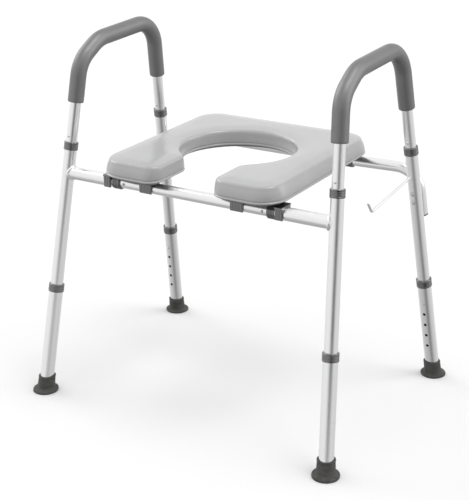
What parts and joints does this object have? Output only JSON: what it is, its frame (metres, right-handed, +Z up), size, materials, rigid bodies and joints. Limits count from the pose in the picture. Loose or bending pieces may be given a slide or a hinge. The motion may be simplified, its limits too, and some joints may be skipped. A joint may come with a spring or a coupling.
{
  "type": "shower and commode chair",
  "caption": "Height-adjustable bath stool with splayed telescopic legs, foam-covered arms, a padded U-shaped open-front seat that lifts off its front clips, and a toilet roll wire.",
  "frame": {"origin": "on the floor under the middle of the footprint", "axes": "+Z up, -Y the open front of the seat, +X the side on the right as seen from the front, where the toilet roll wire is"},
  "size_m": [0.718, 0.539, 0.7367],
  "materials": {
    "black_board": "matte",
    "bright_steel": "bright zinc plated",
    "dark_grey_plastic": "moulded, fine grain",
    "dark_rubber": "matte moulded",
    "grey_grip_foam": "soft closed-cell foam skin",
    "light_grey_seat_foam": "soft moulded skin",
    "satin_aluminium": "satin anodised"
  },
  "bodies": {
    "frame": {"arm_tube_left": "satin_aluminium", "arm_tube_right": "satin_aluminium", "crossbar_collar_left": "dark_grey_plastic", "crossbar_collar_right": "dark_grey_plastic", "crossbar_stub_left": "satin_aluminium", "crossbar_stub_right": "satin_aluminium", "crossbar_tube": "satin_aluminium", "foam_grip_left": "grey_grip_foam", "foam_grip_right": "grey_grip_foam", "leg_spring_front_left": "bright_steel", "leg_spring_front_right": "bright_steel", "leg_spring_rear_left": "bright_steel", "leg_spring_rear_right": "bright_steel", "leg_tube_front_left": "satin_aluminium", "leg_tube_front_right": "satin_aluminium", "leg_tube_rear_left": "satin_aluminium", "leg_tube_rear_right": "satin_aluminium", "lower_rivet_left": "bright_steel", "lower_rivet_right": "bright_steel", "rear_bar": "satin_aluminium", "rear_bar_plug_left": "dark_grey_plastic", "rear_bar_plug_right": "dark_grey_plastic", "toilet_roll_wire": "bright_steel", "upper_collar_front_left": "dark_grey_plastic", "upper_collar_front_right": "dark_grey_plastic", "upper_collar_rear_left": "dark_grey_plastic", "upper_collar_rear_right": "dark_grey_plastic", "upper_rivet_left": "bright_steel", "upper_rivet_right": "bright_steel"},
    "lower_leg_front_left": {"lower_leg_front_left": "satin_aluminium", "lower_collar_front_left": "dark_grey_plastic", "foot_front_left": "dark_rubber"},
    "leg_button_front_left": {"leg_button_front_left": "bright_steel"},
    "arm_button_front_left": {"arm_button_front_left": "bright_steel"},
    "lower_leg_front_right": {"lower_leg_front_right": "satin_aluminium", "lower_collar_front_right": "dark_grey_plastic", "foot_front_right": "dark_rubber"},
    "leg_button_front_right": {"leg_button_front_right": "bright_steel"},
    "arm_button_front_right": {"arm_button_front_right": "bright_steel"},
    "lower_leg_rear_left": {"lower_leg_rear_left": "satin_aluminium", "lower_collar_rear_left": "dark_grey_plastic", "foot_rear_left": "dark_rubber"},
    "leg_button_rear_left": {"leg_button_rear_left": "bright_steel"},
    "arm_button_rear_left": {"arm_button_rear_left": "bright_steel"},
    "lower_leg_rear_right": {"lower_leg_rear_right": "satin_aluminium", "lower_collar_rear_right": "dark_grey_plastic", "foot_rear_right": "dark_rubber"},
    "leg_button_rear_right": {"leg_button_rear_right": "bright_steel"},
    "arm_button_rear_right": {"arm_button_rear_right": "bright_steel"},
    "crossbar_button_left": {"crossbar_button_left": "bright_steel"},
    "crossbar_button_right": {"crossbar_button_right": "bright_steel"},
    "seat": {"middle_seat_clip_left": "dark_grey_plastic", "middle_seat_clip_right": "dark_grey_plastic", "rear_seat_clip_left": "dark_grey_plastic", "rear_seat_clip_right": "dark_grey_plastic", "seat_base": "black_board", "seat_cushion": "light_grey_seat_foam", "side_seat_clip_left": "dark_grey_plastic", "side_seat_clip_right": "dark_grey_plastic"}
  },
  "joints": [
    {"name": "leg_height_front_left", "type": "slide", "parent": "frame", "child": "lower_leg_front_left", "axis": [0.0639, 0.1711, 0.9832], "range_m": [0, 0.1016], "deforming": ["leg_button_front_left"]},
    {"name": "leg_button_press_front_left", "type": "slide", "parent": "frame", "child": "leg_button_front_left", "axis": [0.0111, -0.9853, 0.1707], "range_m": [0, 0.0045], "stiffness_N_per_m": 1500, "springref_m": -0.002, "deforming": ["leg_spring_front_left"]},
    {"name": "arm_button_press_front_left", "type": "slide", "parent": "frame", "child": "arm_button_front_left", "axis": [-0.0111, 0.9853, -0.1707], "range_m": [0, 0.003], "stiffness_N_per_m": 1500, "springref_m": -0.002},
    {"name": "leg_height_front_right", "type": "slide", "parent": "frame", "child": "lower_leg_front_right", "axis": [-0.0639, 0.1711, 0.9832], "range_m": [0, 0.1016], "deforming": ["leg_button_front_right"]},
    {"name": "leg_button_press_front_right", "type": "slide", "parent": "frame", "child": "leg_button_front_right", "axis": [-0.0111, -0.9853, 0.1707], "range_m": [0, 0.0045], "stiffness_N_per_m": 1500, "springref_m": -0.002, "deforming": ["leg_spring_front_right"]},
    {"name": "arm_button_press_front_right", "type": "slide", "parent": "frame", "child": "arm_button_front_right", "axis": [0.0111, 0.9853, -0.1707], "range_m": [0, 0.003], "stiffness_N_per_m": 1500, "springref_m": -0.002},
    {"name": "leg_height_rear_left", "type": "slide", "parent": "frame", "child": "lower_leg_rear_left", "axis": [0.0639, -0.1711, 0.9832], "range_m": [0, 0.1016], "deforming": ["leg_button_rear_left"]},
    {"name": "leg_button_press_rear_left", "type": "slide", "parent": "frame", "child": "leg_button_rear_left", "axis": [0.0111, 0.9853, 0.1707], "range_m": [0, 0.0045], "stiffness_N_per_m": 1500, "springref_m": -0.002, "deforming": ["leg_spring_rear_left"]},
    {"name": "arm_button_press_rear_left", "type": "slide", "parent": "frame", "child": "arm_button_rear_left", "axis": [0.0111, 0.9853, 0.1707], "range_m": [0, 0.003], "stiffness_N_per_m": 1500, "springref_m": -0.002},
    {"name": "leg_height_rear_right", "type": "slide", "parent": "frame", "child": "lower_leg_rear_right", "axis": [-0.0639, -0.1711, 0.9832], "range_m": [0, 0.1016], "deforming": ["leg_button_rear_right"]},
    {"name": "leg_button_press_rear_right", "type": "slide", "parent": "frame", "child": "leg_button_rear_right", "axis": [-0.0111, 0.9853, 0.1707], "range_m": [0, 0.0045], "stiffness_N_per_m": 1500, "springref_m": -0.002, "deforming": ["leg_spring_rear_right"]},
    {"name": "arm_button_press_rear_right", "type": "slide", "parent": "frame", "child": "arm_button_rear_right", "axis": [-0.0111, 0.9853, 0.1707], "range_m": [0, 0.003], "stiffness_N_per_m": 1500, "springref_m": -0.002},
    {"name": "crossbar_button_press_left", "type": "slide", "parent": "frame", "child": "crossbar_button_left", "axis": [0, 1, 0], "range_m": [0, 0.003], "stiffness_N_per_m": 1500, "springref_m": -0.002},
    {"name": "crossbar_button_press_right", "type": "slide", "parent": "frame", "child": "crossbar_button_right", "axis": [0, 1, 0], "range_m": [0, 0.003], "stiffness_N_per_m": 1500, "springref_m": -0.002},
    {"name": "seat_lift", "type": "hinge", "parent": "frame", "child": "seat", "pos_m": [0, 0.1772, 0.467], "axis": [-1, 0, 0], "range_deg": [0, 95]}
  ]
}
